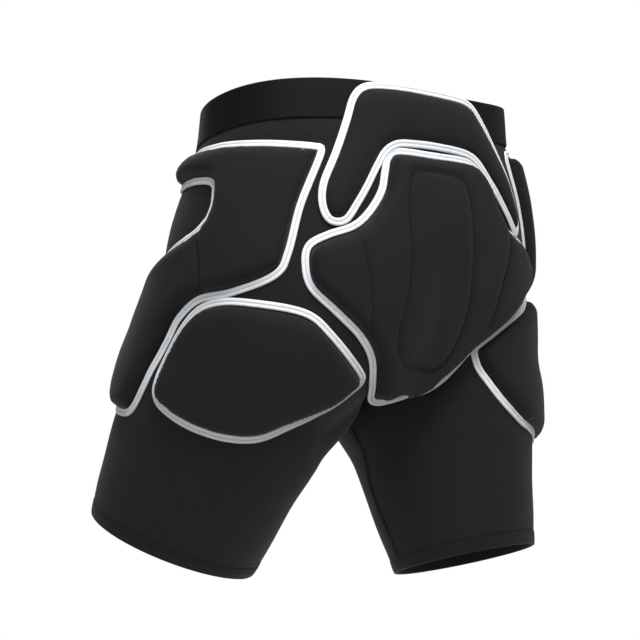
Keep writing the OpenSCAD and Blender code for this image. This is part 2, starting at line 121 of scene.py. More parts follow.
# the same, eased over EASED mm each way, for the cloth away from the crotch
EASED = 34.0
LEVELS = np.arange(-5.0, FOOT + 6, 0.5)
REACH = np.linspace(-1, 1, 301)
SOFT = (parting(LEVELS[:, None] + EASED * REACH) * (1 + np.cos(np.pi * REACH))).sum(1)
SOFT /= (1 + np.cos(np.pi * REACH)).sum()


def ring(s, d, gap=0.25):
    s, d = np.broadcast_arrays(np.asarray(s, float), np.asarray(d, float))
    soft = np.interp(d, LEVELS, SOFT)
    w = soft + (parting(d) - soft) * np.abs(np.cos(np.pi * s)) ** 14
    c, sn = np.cos(np.pi * s), np.sin(np.pi * s)
    bx = at(BODY, 1, d) * np.abs(sn) ** 0.92
    bc = np.sign(c) * np.abs(c) ** 0.92
    by = -bc * np.where(c > 0, at(BODY, 2, d), at(BODY, 3, d))
    lr = at(LEG, 2, d)
    lx = at(LEG, 1, d) + lr - lr * np.cos(2 * np.pi * s)
    ly = at(LEG, 3, d) - at(LEG, 4, d) * np.sin(2 * np.pi * s)
    return np.stack([gap + (1 - w) * bx + w * lx, (1 - w) * by + w * ly, -d], -1)


def taut(s, d):
    """The form drawn straight across the cleft behind."""
    s, d = np.broadcast_arrays(np.asarray(s, float), np.asarray(d, float))
    p = ring(s, d)
    ahead = np.stack([ring(0.7 + (s - 0.7) * k, d)[..., 1] for k in np.linspace(0, 1, 21)])
    y = np.where(s > 0.7, ahead.max(0), p[..., 1])
    return np.stack([p[..., 0], y, p[..., 2]], -1)


def stride(p, side):
    x, y, z = p[..., 0], p[..., 1], p[..., 2]
    d = -z
    w = ease(TURN_TOP, TURN_END, d) * (1 - (1 - ease(0, 60, x)) * (1 - ease(RISE, RISE + 50, d)))
    cx, cy = at(LEG, 1, d) + at(LEG, 2, d), at(LEG, 3, d)
    k = 1 + (FLARE[side] - 1) * ease(RISE, FOOT, d)
    x = np.where(d > RISE, cx + (x - cx) * k, x)
    if side > 0:
        # the left thigh is a little fuller inside, below the crotch
        far = (d - INNER_AT) / np.where(d < INNER_AT, INNER_UP, INNER_DOWN)
        x = x - INNER_FULL * np.exp(-far ** 2) * (1 - ease(30, 100, x))
    y = np.where(d > RISE, cy + (y - cy) * k, y)
    y = cy + (y - cy) * (1 + (FULL[side] - 1) * ease(150, RISE, d) * ease(0, 70, x))
    a, b = np.radians(w * SWING[side]), np.radians(w * SPREAD[side])
    dz = z - HIP[2]
    y2 = y * np.cos(a) + dz * np.sin(a)
    z2 = -y * np.sin(a) + dz * np.cos(a)
    dx = x - HIP[0]
    fade = 1 - ease(0, SLANT_END, d)
    return np.stack([
        side * (HIP[0] + dx * np.cos(b) - z2 * np.sin(b)),
        y2 - LEAN + LEAN * fade,
        HIP[2] + dx * np.sin(b) + z2 * np.cos(b)
        + fade * (TILT[1] * y + TILT[0] * x * side + LIFTED[side] * (x / 130) ** 2)], -1)


def form(side, s, d, shape=ring):
    """Point of the shell in its stride."""
    return stride(shape(s, d), side)


def along(path):
    """Distance from a path's start to each of its points."""
    return np.concatenate([[0], np.cumsum(np.linalg.norm(np.diff(path, axis=0), axis=1))])


def unit(v):
    return v / np.maximum(np.linalg.norm(v, axis=-1, keepdims=True), 1e-9)


def skin(side, s, d, h=0.0):
    """Point of the shell, lifted by h along its outward normal."""
    s, d = np.broadcast_arrays(np.asarray(s, float), np.asarray(d, float))
    p = form(side, s, d)
    e = np.where(s > 0.5, -0.004, 0.004)
    f = np.where(d > RISE / 2, -1.0, 1.0)
    a = (form(side, s + e, d) - p) * np.sign(e)[..., None]
    b = (form(side, s, d + f) - p) * f[..., None]
    n = side * unit(np.cross(b, a))
    return p + np.asarray(h, float)[..., None] * n


def back(t, d):
    """Point of the back at t, which runs from the right half (-) to the left (+)."""
    t, d = np.broadcast_arrays(np.asarray(t, float), np.asarray(d, float))
    out = np.empty(t.shape + (3,))
    for side, here in ((1, t >= 0), (-1, t < 0)):
        out[here] = form(side, 1 - np.abs(t[here]), d[here], taut)
    return out


def back_skin(t, d, h=0.0):
    t, d = np.broadcast_arrays(np.asarray(t, float), np.asarray(d, float))
    a = back(t + 0.014, d) - back(t - 0.014, d)
    b = back(t, d + 3) - back(t, d - 3)
    n = unit(np.cross(a, b))
    return back(t, d) + np.asarray(h, float)[..., None] * n


# ---------------------------------------------------------------- pad outlines
# rails of each pad, [s or t, level], down one edge and down the other
SEAT_L = [[0.085, 58], [0.105, 64], [0.111, 76], [0.117, 91], [0.137, 106],
          [0.167, 117], [0.215, 124], [0.248, 131], [0.256, 142], [0.245, 156],
          [0.200, 168], [0.150, 180], [0.117, 193], [0.101, 210], [0.096, 226],
          [0.084, 240], [0.056, 250]]
SEAT_R = [[-0.045, 56], [-0.075, 60], [-0.100, 73], [-0.122, 95], [-0.152, 109],
          [-0.197, 115], [-0.240, 122], [-0.268, 133], [-0.274, 147], [-0.253, 166],
          [-0.212, 190], [-0.170, 212], [-0.138, 227], [-0.112, 239], [-0.092, 245],
          [-0.066, 249], [-0.030, 251]]
WAIST_O = [[0.214, 113], [0.224, 103], [0.224, 88], [0.208, 65], [0.190, 35],
           [0.176, 16], [0.150, 6], [0.100, 3], [0.030, 2], [-0.040, 2],
           [-0.078, 6], [-0.104, 16], [-0.148, 38], [-0.184, 62], [-0.200, 84],
           [-0.206, 100], [-0.200, 107]]
WAIST_I = [[0.197, 115.5], [0.179, 112.5], [0.160, 101], [0.144, 88], [0.126, 71],
           [0.110, 59], [0.086, 52], [0.050, 50], [0.010, 49], [-0.030, 49],
           [-0.062, 51], [-0.086, 57], [-0.113, 72], [-0.143, 88], [-0.165, 99],
           [-0.181, 107], [-0.190, 110.5]]
HIP_O = [[0.325, 58], [0.350, 48], [0.420, 45], [0.505, 48], [0.605, 53],
         [0.700, 57], [0.750, 59], [0.764, 61], [0.758, 75], [0.736, 105], [0.714, 136],
         [0.690, 151], [0.610, 166], [0.545, 176], [0.513, 196], [0.504, 222],
         [0.498, 248], [0.490, 275], [0.474, 298], [0.435, 306]]
# the right one's upper rear corner sits higher
RIGHT_HIP_O = [*HIP_O[:3], [0.505, 46], [0.605, 45], [0.700, 43], [0.750, 43],
               [0.766, 46], [0.762, 62], [0.741, 97], [0.717, 133], *HIP_O[11:]]
HIP_I = [[0.325, 63], [0.350, 70], [0.430, 73], [0.480, 75], [0.515, 78],
         [0.532, 81], [0.540, 84], [0.544, 87], [0.548, 93], [0.550, 100], [0.546, 107],
         [0.538, 112], [0.505, 122], [0.420, 136], [0.350, 152], [0.312, 180],
         [0.308, 215], [0.330, 250], [0.370, 288], [0.410, 305]]
THIGH_LT = [[0.515, 246], [0.517, 228], [0.525, 206], [0.541, 189], [0.565, 179],
            [0.605, 173], [0.665, 171], [0.725, 171], [0.762, 174], [0.798, 183],
            [0.838, 194], [0.864, 201], [0.872, 204]]
THIGH_LB = [[0.515, 256], [0.518, 268], [0.530, 276], [0.553, 280], [0.580, 282],
            [0.610, 282], [0.650, 279], [0.690, 271], [0.735, 253], [0.785, 238],
            [0.828, 226], [0.860, 213], [0.871, 208]]
THIGH_RT = [[0.513, 262], [0.516, 240], [0.524, 213], [0.540, 192], [0.565, 181],
            [0.605, 174], [0.655, 171], [0.700, 175], [0.735, 187], [0.775, 199],
            [0.810, 212], [0.840, 226], [0.849, 231]]
THIGH_RB = [[0.513, 275], [0.517, 292], [0.532, 303], [0.558, 309], [0.590, 312],
            [0.630, 311], [0.670, 309], [0.708, 303], [0.745, 288], [0.785, 264],
            [0.815, 250], [0.840, 239], [0.849, 234]]


def curve(points, u):
    """Smooth closed curve through points, at u in index units."""
    c = np.asarray(points, float)
    n = len(c)
    u = np.asarray(u, float)
    i = np.floor(u).astype(int)
    t = (u - i)[..., None]
    p0, p1, p2, p3 = (c[(i + k) % n] for k in (-1, 0, 1, 2))
    return 0.5 * (2 * p1 + (p2 - p0) * t + (2 * p0 - 5 * p1 + 4 * p2 - p3) * t * t
                  + (3 * p1 - p0 - 3 * p2 + p3) * t ** 3)


GIRTH = 480.0  # mm round half the garment, for one unit of s


class Pad:
    """One pad: kind 0 lies across the back, 1 on the left half, -1 on the right."""

    def __init__(self, name, kind, a, b, thick, lift, nodes, channels=(), wide_ends=False,
                 edge_round=12.5):
        self.name, self.kind, self.thick, self.lift = name, kind, thick, lift
        self.edge_round = edge_round
        self.a, self.b = np.array(a, float), np.array(b, float)
        self.nodes, self.channels = nodes, channels
        ends = [(self.a[-1] + self.b[-1]) / 2], [(self.a[0] + self.b[0]) / 2]
        if not wide_ends:
            ends = [], []
        self.loop = np.array([*self.a, *ends[0], *self.b[::-1], *ends[1]])

    def surface(self, sd, h):
        """Point over the shell at sd, lifted by h off the pad's underside."""
        sd = np.asarray(sd, float)
        h = np.broadcast_to(h, sd.shape[:-1]) + self.lift
        if self.kind == 0:
            return back_skin(sd[..., 0], sd[..., 1], h)
        return skin(self.kind, sd[..., 0], sd[..., 1], h)

    def rails(self, u):
        """The points of both rails at u, in index units."""
        i = np.clip(np.floor(u).astype(int), 0, len(self.a) - 2)
        t = (u - i)[..., None]
        return [rail[i] + (rail[i + 1] - rail[i]) * t for rail in (self.a, self.b)]

    def outline(self, step):
        """The pad's outline as (s, d) points, step mm apart."""
        u = np.linspace(0, len(self.loop), len(self.loop) * 24, endpoint=False)
        return spaced(self, curve(self.loop, u), step, closed=True)


def spaced(pad, sd, step, closed=False):
    """The same line with its points step mm apart on the garment."""
    p = pad.surface(sd, 0.0)
    if closed:
        sd, p = np.vstack([sd, sd[:1]]), np.vstack([p, p[:1]])
    run = along(p)
    n = max(4, int(round(run[-1] / step)))
    at_run = np.linspace(0, run[-1], n, endpoint=False) if closed else np.linspace(0, run[-1], n + 1)
    return np.stack([np.interp(at_run, run, sd[:, k]) for k in (0, 1)], -1)


# ---------------------------------------------------------------- mesh building
def mesh_object(name, verts, faces, weave=None, flat_faces=()):
    """A mesh piece from points in mm, with its cloth coordinates in mm."""
    me = bpy.data.meshes.new(name)
    me.from_pydata((np.asarray(verts) * MM).tolist(), [], [list(map(int, f)) for f in faces])
    me.polygons.foreach_set("use_smooth", np.ones(len(me.polygons), bool))
    for f in flat_faces:
        me.polygons[f].use_smooth = False
    if weave is not None:
        w = np.zeros((len(verts), 3), np.float32)
        w[:, :2] = np.asarray(weave)[:, :2]
        me.attributes.new("weave", "FLOAT_VECTOR", "POINT").data.foreach_set("vector", w.ravel())
    me.update()
    ob = bpy.data.objects.new(name, me)
    bpy.context.scene.collection.objects.link(ob)
    return ob


def outward(ob):
    """Turns every face of a closed piece outward."""
    bm = bmesh.new()
    bm.from_mesh(ob.data)
    bmesh.ops.recalc_face_normals(bm, faces=bm.faces)
    bm.to_mesh(ob.data)
    bm.free()
    return ob


def tube(name, pts, weave):
    """A closed piece from a grid of points that joins up both ways."""
    m, k = pts.shape[:2]
    faces = [(i * k + j, i * k + (j + 1) % k, (i + 1) % m * k + (j + 1) % k, (i + 1) % m * k + j)
             for i in range(m) for j in range(k)]
    return outward(mesh_object(name, pts.reshape(-1, 3), faces, weave.reshape(-1, 2)))


def slab(name, outer, inner, weave):
    """A closed piece of cloth between two grids of points."""
    m, n = outer.shape[:2]
    verts = np.concatenate([outer.reshape(-1, 3), inner.reshape(-1, 3)])
    idx = np.arange(m * n).reshape(m, n)
    far = idx + m * n
    j = np.arange(n - 1)
    k = j + 1
    faces = []
    for i in range(m - 1):
        faces += list(zip(idx[i, j], idx[i, k], idx[i + 1, k], idx[i + 1, j]))
        faces += list(zip(far[i, j], far[i + 1, j], far[i + 1, k], far[i, k]))
    skin_faces = len(faces)
    for i in (0, m - 1):
        faces += list(zip(idx[i, j], far[i, j], far[i, k], idx[i, k]))
    i = np.arange(m - 1)
    for c in (0, n - 1):
        faces += list(zip(idx[i, c], far[i, c], far[i + 1, c], idx[i + 1, c]))
    ob = mesh_object(name, verts, faces, np.concatenate([weave.reshape(-1, 2)] * 2),
                     range(skin_faces, len(faces)))
    return outward(ob)


def sweep(name, path, normal, profile, closed=True):
    """A strip swept along a path of points, with a profile of (across, up) in mm."""
    path, profile = np.asarray(path), np.asarray(profile, float)
    if closed:
        t = unit(np.roll(path, -1, 0) - np.roll(path, 1, 0))
    else:
        t = unit(np.gradient(path, axis=0))
    across = unit(np.cross(t, normal))
    pts = (path[:, None] + profile[None, :, :1] * across[:, None]
           + profile[None, :, 1:] * normal[:, None])
    m, n = pts.shape[:2]
    weave = np.stack(np.broadcast_arrays(along(path)[:, None], profile[None, :, 0]), -1)
    faces = []
    for i in range(m if closed else m - 1):
        a, b = i * n, ((i + 1) % m) * n
        faces += [(a + j, a + (j + 1) % n, b + (j + 1) % n, b + j) for j in range(n)]
    if not closed:
        faces += [tuple(range(n))[::-1], tuple(range((m - 1) * n, m * n))]
    return outward(mesh_object(name, pts.reshape(-1, 3), faces, weave.reshape(-1, 2)))


def stitches(name, lines, pitch=3.0, length=2.1, radius=0.28, slant=0.0):
    """Rows of short thread loops along lines of (points, normals)."""
    verts, faces, weave = [], [], []
    ring_n = 6
    a = np.arange(ring_n) * 2 * np.pi / ring_n
    # rings of a stitch: place along it, size, height
    prof = [(-0.5, 0.35, -0.6), (-0.3, 0.95, 0.0), (0.0, 1.1, 0.35), (0.3, 0.95, 0.0), (0.5, 0.35, -0.6)]
    for path, normal in lines:
        run = along(path)
        n = max(1, int(run[-1] / pitch))
        c = (np.arange(n) + 0.5) * run[-1] / n
        mid = np.stack([np.interp(c, run, path[:, k]) for k in range(3)], -1)
        nrm = unit(np.stack([np.interp(c, run, normal[:, k]) for k in range(3)], -1))
        ahead = np.stack([np.interp(c + 0.3, run, path[:, k]) for k in range(3)], -1)
        behind = np.stack([np.interp(c - 0.3, run, path[:, k]) for k in range(3)], -1)
        t = unit(ahead - behind)
        x = unit(np.cross(t, nrm))
        t = unit(t + slant * x)
        x = unit(np.cross(t, nrm))
        rings = []
        for place, size, up in prof:
            centre = mid + t * place * length + nrm * up * radius
            rings.append(centre[:, None] + radius * size * (
                np.cos(a)[None, :, None] * x[:, None] + np.sin(a)[None, :, None] * nrm[:, None]))
        block = np.stack(rings, 1)
        base = sum(len(v) for v in verts)
        verts.append(block.reshape(-1, 3))
        weave.append(np.repeat(np.stack([c, c * 0], -1), len(prof) * ring_n, 0))
        for q in range(n):
            o = base + q * len(prof) * ring_n
            for r in range(len(prof) - 1):
                b, c2 = o + r * ring_n, o + (r + 1) * ring_n
                faces += [(b + j, b + (j + 1) % ring_n, c2 + (j + 1) % ring_n, c2 + j)
                          for j in range(ring_n)]
            faces += [tuple(o + j for j in range(ring_n))[::-1],
                      tuple(o + (len(prof) - 1) * ring_n + j for j in range(ring_n))]
    return outward(mesh_object(name, np.concatenate(verts), faces, np.concatenate(weave)))


# ---------------------------------------------------------------- materials
class Nodes:
    """A material's nodes, with short ways to add and join them."""

    def __init__(self, name, **settings):
        self.mat = bpy.data.materials.new(name)
        self.mat.use_nodes = True
        self.tree = self.mat.node_tree
        self.bsdf = self.tree.nodes["Principled BSDF"]
        for key, value in settings.items():
            self.bsdf.inputs[key.replace("_", " ")].default_value = value

    def add(self, kind, inputs=(), **props):
        node = self.tree.nodes.new(kind)
        for key, value in props.items():
            setattr(node, key, value)
        for key, value in dict(inputs).items():
            if isinstance(value, bpy.types.NodeSocket):
                self.tree.links.new(value, node.inputs[key])
            else:
                node.inputs[key].default_value = value
        return node

    def math(self, op, *values):
        return self.add("ShaderNodeMath", dict(enumerate(values)), operation=op).outputs[0]

    def cloth(self):
        """Cloth coordinates in mm, and each of them apart."""
        vector = self.add("ShaderNodeAttribute", attribute_name="weave").outputs["Vector"]
        parts = self.add("ShaderNodeSeparateXYZ", {0: vector}).outputs
        return vector, parts["X"], parts["Y"]

    def noise(self, vector, scale, detail=3.0, rough=0.55):
        return self.add("ShaderNodeTexNoise", {"Vector": vector, "Scale": scale, "Detail": detail,
                                               "Roughness": rough}).outputs["Fac"]

    def wave(self, x, period):
        """Rounded ridges, one each period mm."""
        turn = self.math("MULTIPLY", x, 2 * math.pi / period)
        return self.math("MULTIPLY_ADD", self.math("SINE", turn), 0.5, 0.5)

    def mix(self, fac, a, b):
        node = self.add("ShaderNodeMix", data_type="RGBA")
        for key, value in (("Factor", fac), ("A", a), ("B", b)):
            socket = [s for s in node.inputs if s.name == key and s.enabled][0]
            if isinstance(value, bpy.types.NodeSocket):
                self.tree.links.new(value, socket)
            else:
                socket.default_value = value
        return [s for s in node.outputs if s.enabled][0]

    def spread(self, fac, low, high, to_low=0.0, to_high=1.0):
        return self.add("ShaderNodeMapRange", {"Value": fac, "From Min": low, "From Max": high,
                                               "To Min": to_low, "To Max": to_high}).outputs[0]

    def finish(self, colour, height, distance, rough):
        """Joins colour, bump and roughness to the shader; distance is the bump's depth in m."""
        bump = self.add("ShaderNodeBump", {"Height": height, "Distance": distance, "Strength": 1.0})
        self.tree.links.new(bump.outputs[0], self.bsdf.inputs["Normal"])
        self.tree.links.new(colour, self.bsdf.inputs["Base Color"])
        self.tree.links.new(rough, self.bsdf.inputs["Roughness"])
        return self.mat


def grey(v, blue=0.0):
    return (v, v * (1 + blue * 0.4), v * (1 + blue), 1)


def knit(name, dark, light, blue=0.03, sheen=0.04, wale=1.1, course=0.9):
    """A fine stretch knit: rows of small loops, a faint mottle and a little fuzz."""
    k = Nodes(name, Roughness=0.88, Sheen_Weight=sheen, Sheen_Roughness=0.4)
    k.bsdf.inputs["Specular IOR Level"].default_value = 0.2
    k.bsdf.inputs["Sheen Tint"].default_value = (0.75, 0.77, 0.82, 1)
    vector, x, y = k.cloth()
    column = k.wave(x, wale)
    # the loops of a knit lean to both sides of each column
    lean = k.math("ABSOLUTE", k.math("SUBTRACT", k.math("FRACT", k.math("DIVIDE", x, wale)), 0.5))
    loops = k.wave(k.math("MULTIPLY_ADD", lean, course, y), course)
    weave = k.math("ADD", k.math("MULTIPLY", column, 0.6), k.math("MULTIPLY", loops, 0.4))
    fuzz = k.noise(vector, 0.9, 4.0, 0.65)
    patches = k.noise(vector, 0.018, 2.0)
    shade = k.math("ADD", k.math("MULTIPLY", k.spread(patches, 0.3, 0.7), 0.45),
                   k.math("ADD", k.math("MULTIPLY", fuzz, 0.35), k.math("MULTIPLY", weave, 0.2)))
    colour = k.mix(shade, grey(dark, blue), grey(light, blue))
    height = k.math("ADD", weave, k.math("MULTIPLY", fuzz, 0.9))
    rough = k.spread(fuzz, 0.2, 0.8, 0.8, 0.95)
    return k.finish(colour, height, 0.00018, rough)


def ribbed(name, dark, light, period=1.7, blue=0.16):
    """Woven elastic: fine ribs along the band, with a slight lustre."""
    k = Nodes(name, Roughness=0.6, Sheen_Weight=0.02, Sheen_Roughness=0.35)
    k.bsdf.inputs["Specular IOR Level"].default_value = 0.1
    vector, x, y = k.cloth()
    ribs = k.wave(y, period)
    picks = k.wave(x, 0.8)
    fuzz = k.noise(vector, 0.8, 3.0, 0.6)
    patches = k.noise(vector, 0.02, 2.0)
    shade = k.math("ADD", k.math("MULTIPLY", ribs, 0.15),
                   k.math("ADD", k.math("MULTIPLY", fuzz, 0.3), k.math("MULTIPLY", patches, 0.4)))
    colour = k.mix(shade, grey(dark, blue), grey(light, blue))
    height = k.math("ADD", k.math("MULTIPLY", ribs, 0.5), k.math("MULTIPLY", picks, 0.35))
    return k.finish(colour, height, 0.00016, k.spread(fuzz, 0.2, 0.8, 0.52, 0.72))


def taped(name):
    """White woven binding tape: fine cross ribs, painted shade along its stitched middle and its edges,
    and a faint painted glow.
    """
    k = Nodes(name, Roughness=0.55, Sheen_Weight=0.1)
    # painted glow: a faint white emission keeps the tape bright where it lies in shade
    k.bsdf.inputs["Emission Color"].default_value = (0.9, 0.94, 0.97, 1)
    k.bsdf.inputs["Emission Strength"].default_value = 0.05
    vector, x, y = k.cloth()
    picks = k.wave(x, 0.8)
    threads = k.wave(y, 0.55)
    dirt = k.noise(vector, 0.12, 3.0)
    # painted shade: the tape is greyer along its stitched middle groove and towards its edges, where
    # shade falls
    middle = k.spread(k.math("ABSOLUTE", y), 0.1, 1.0, 0.0, 1.0)
    edge = k.spread(k.math("ABSOLUTE", y), 2.7, 3.4, 1.0, 0.6)
    shade = k.math("MULTIPLY", k.math("MULTIPLY", middle, edge), k.spread(dirt, 0.2, 0.7, 0.88, 1.0))
    colour = k.mix(shade, (0.42, 0.45, 0.49, 1), (0.82, 0.84, 0.86, 1))
    height = k.math("ADD", picks, k.math("MULTIPLY", threads, 0.5))
    return k.finish(colour, height, 0.00012, k.spread(dirt, 0.2, 0.8, 0.45, 0.65))


def thread(name, colour, light, lustre=0.4):
    """Twisted sewing thread."""
    k = Nodes(name, Roughness=0.5)
    k.bsdf.inputs["Specular IOR Level"].default_value = lustre
    coords = k.add("ShaderNodeTexCoord").outputs["Object"]
    fleck = k.noise(coords, 900.0, 2.0)
    twist = k.noise(coords, 2500.0, 1.0)
    return k.finish(k.mix(fleck, colour, light), twist, 0.0001, k.spread(fleck, 0.3, 0.7, 0.42, 0.6))


def foamed(name):
    """Open-cell foam, pale yellow."""
    k = Nodes(name, Roughness=0.95)
    coords = k.add("ShaderNodeTexCoord").outputs["Object"]
    cells = k.add("ShaderNodeTexVoronoi", {"Vector": coords, "Scale": 900.0}).outputs["Distance"]
    tone = k.noise(coords, 30.0, 3.0)
    colour = k.mix(k.math("MULTIPLY", cells, tone), (0.85, 0.72, 0.34, 1), (0.62, 0.48, 0.2, 1))
    return k.finish(colour, cells, 0.0004, k.spread(tone, 0.3, 0.7, 0.88, 1.0))


SHELL = knit("shell_knit", 0.0044, 0.0088)
PAD_CLOTH = knit("pad_knit", 0.0046, 0.0092, blue=0.02, wale=1.2, course=1.0)
HEM_CLOTH = knit("hem_knit", 0.004, 0.008)
BAND_FACE = ribbed("band_rib", 0.0026, 0.0042, 1.5, 0.25)
LINING = knit("band_lining_knit", 0.02, 0.034, blue=0.05, wale=1.4)
ELASTIC = ribbed("elastic_rib", 0.55, 0.72, 2.4, 0.0)
TAPE = taped("binding_tape")
WHITE_THREAD = thread("white_thread", (0.6, 0.62, 0.66, 1), (0.9, 0.9, 0.92, 1))
BLACK_THREAD = thread("black_thread", (0.0016, 0.0016, 0.0018, 1), (0.004, 0.004, 0.0045, 1), 0.05)
FOAM = foamed("pad_foam")


def dress(ob, material):
    ob.data.materials.clear()
    ob.data.materials.append(material)
    return ob


def follow(ob):
    """Bakes the piece's placement into its mesh."""
    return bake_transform(ob)


SIDES = {"left": 1, "right": -1}

# ---------------------------------------------------------------- shell
SHELL_T = 1.3


PHASE = {1: 1.7, -1: 0.4}  # sets the two sides' waves apart


def ripple(side, s, d):
    """The slight unevenness of tight cloth: slow waves and a tuck under the waistband."""
    low = ease(RISE - 90, RISE + 40, d)
    p = PHASE[side]
    turn = 2 * np.pi
    slow = 0.55 * np.sin(turn * (2 * s + d / 210) + p) + 0.35 * np.sin(turn * (5 * s - d / 150) + 2 * p)
    folds = 0.45 * np.sin(turn * (3 * s + d / 75) + 3 * p) * np.sin(np.pi * s) ** 2
    tuck = 1.3 * np.exp(-((d - 45) / 8.5) ** 2) - 1.0 * np.exp(-((d - 33.5) / 2.6) ** 2)
    hem = 1 - ease(FOOT - 45, FOOT - HEM, d)
    return (0.25 + 0.75 * low) * hem * (slow + folds) + tuck


def inseam_at(d):
    """Where the inseam lies: below the crotch it runs a little to the front."""
    return 0.05 * ease(RISE, RISE + 80, d) - 0.015 * ease(RISE + 90, FOOT, d)


def shell(name, side):
    d = np.concatenate([np.linspace(BAND - 2.5, 52, 22), np.linspace(54, FOOT - HEM + 0.6, 150)])[:, None]
    s = np.linspace(0, 1, 181)[None, :] + inseam_at(d)
    h = ripple(side, s, d)
    outer = skin(side, s, d, h)
    inner = skin(side, s, d, h - SHELL_T)
    weave = np.stack(np.broadcast_arrays(s * GIRTH, d + 0 * s), -1)
    ob = slab(f"{name}_shell_panel", outer, inner, weave)
    return dress(ob, SHELL)


shells = {n: shell(n, k) for n, k in SIDES.items()}


# ---------------------------------------------------------------- waistband
def hoop(name, section):
    """A ring round the waist with a closed section of (level, lift) points in mm."""
    n = 200
    sec = np.asarray(section, float)
    half = (np.arange(n) + 0.5) / n
    rings = [skin(1, half[:, None], sec[None, :, 0], sec[None, :, 1]),
             skin(-1, half[::-1, None], sec[None, :, 0], sec[None, :, 1])]
    pts = np.concatenate(rings)
    weave = np.stack(np.broadcast_arrays(along(pts[:, 0])[:, None], sec[None, :, 0]), -1)
    return tube(name, pts, weave)


def band_section(lo, hi, out, thick, rib=0.0, pitch=2.0, round_by=0.5):
    """Section of a woven band, with small ribs outside and rounded edges."""
    d = np.arange(lo + round_by, hi - round_by + 0.01, 0.33)
    lift = out + rib * (0.5 - 0.5 * np.cos(2 * np.pi * d / pitch)) - rib
    outer = list(zip(d, lift))
    shares = ((0.15, 0.3), (0, 0.5), (0.15, 0.7))
    low = [(hi - a * round_by, out - b * thick) for a, b in shares]
    inner = list(zip(d[::-4], np.full(len(d[::-4]), out - thick)))
    top = [(lo + a * round_by, out - b * thick) for a, b in shares[::-1]]
    return outer + low + inner + top


face = dress(hoop("waistband_face_cloth", band_section(-0.4, BAND, 1.5, 1.5, 0.04, 1.3, 0.8)),
             BAND_FACE)
core = dress(hoop("waistband_elastic_tape", band_section(1.5, BAND - 3, -0.35, 1.3, 0.12, 2.4)),
             ELASTIC)
lining = dress(hoop("waistband_lining_cloth", band_section(0, BAND - 1, -1.95, 0.9)),
               LINING)


NEEDLES = (1.6, 4.4)  # the hem's two rows of stitches, below its top edge


def hem_section():
    """A folded hem: two layers closed by a round fold, with a twin-needle groove."""
    top, low = FOOT - HEM, FOOT
    d = np.arange(top + 0.7, low - 1.2, 0.3)
    groove = sum(0.38 * np.exp(-((d - top - k) / 0.45) ** 2) for k in NEEDLES)
    outer = list(zip(d, 0.45 - groove + 0.3 * np.sin(np.pi * (d - top) / HEM)))
    a = np.linspace(0.15, 0.85, 7) * np.pi
    fold = [(low - 1.3 + 1.3 * math.sin(t), -1.0 + 1.45 * math.cos(t)) for t in a]
    inner = list(zip(d[::-3], np.full(len(d[::-3]), -2.4)))
    return outer + fold + inner + [(top + 0.1, -1.7), (top, -0.9), (top + 0.2, 0.0)]


def hem(name, side):
    sec = np.array(hem_section())
    s = (np.arange(220) / 220)[:, None]
    pts = skin(side, s, sec[None, :, 0], sec[None, :, 1])
    weave = np.stack(np.broadcast_arrays(s * GIRTH, sec[None, :, 0]), -1)
    ob = tube(f"{name}_hem_fold", pts, weave)
    rows = []
    for k in NEEDLES:
        t = np.append(np.linspace(0, 1, 220, endpoint=False), 1.0)
        path = skin(side, t, np.full_like(t, FOOT - HEM + k), 0.2)
        rows.append((path, unit(skin(side, t, np.full_like(t, FOOT - HEM + k), 1.2) - path)))
    thread_rows = stitches(f"{name}_hem_stitching", rows, 2.6, 2.0, 0.24)
    dress(thread_rows, BLACK_THREAD)
    return dress(ob, HEM_CLOTH), thread_rows


hems = {n: hem(n, k) for n, k in SIDES.items()}

# ---------------------------------------------------------------- seams of the shell
FLAT_SEAM = [(-2.6, 0.0), (-2.3, 0.55), (-1.2, 0.75), (0, 0.5), (1.2, 0.75), (2.3, 0.55), (2.6, 0.0),
             (2.2, -0.5), (-2.2, -0.5)]


def seam(name, path, normal):
    """A flat-locked seam with slanted thread over both its edges."""
    ob = dress(sweep(name, path, normal, FLAT_SEAM, closed=False), SHELL)
    t = unit(np.gradient(path, axis=0))
    x = unit(np.cross(t, normal))
    rows = [(path + k * x + 0.72 * normal, normal) for k in (-1.2, 1.2)]
    sewn = dress(stitches(f"{name}_stitching", rows, 1.9, 2.1, 0.2, 0.7), BLACK_THREAD)
    return ob, sewn


def centre_line():
    """Down the front centre, under the crotch and up the back, under the pads."""
    away = np.linspace(0, 1, 120)[::-1] ** 1.8
    down = RISE - away * (RISE - BAND - 2)
    up = down[::-1][1:]
    s = np.concatenate([np.full(len(down), 0.004), np.full(len(up), 0.996)])
    d = np.concatenate([down, up])
    both = [skin(k, s, d, 0.6) for k in (1, -1)]
    path = (both[0] + both[1]) / 2
    path[:, 0] = 0
    t = unit(np.gradient(path, axis=0))
    return path, unit(np.cross(np.array([[1.0, 0, 0]]), t) * -1)


path, normal = centre_line()
if normal[5, 1] > 0:  # it starts at the front, where outward is -y
    normal = -normal
centre_seam = seam("centre_seam", path, normal)
inseams = {}
for n, k in SIDES.items():
    d = np.linspace(RISE + 1.5, FOOT - HEM + 0.3, 80)
    ends = (inseam_at(d), 1 + inseam_at(d))
    near, above = ([skin(k, e, d, ripple(k, e, d) + h) for e in ends] for h in (0.3, 1.3))
    mid = (near[0] + near[1]) / 2
    out = (above[0] + above[1]) / 2 - mid
    inseams[n] = seam(f"{n}_inseam", mid, unit(out))

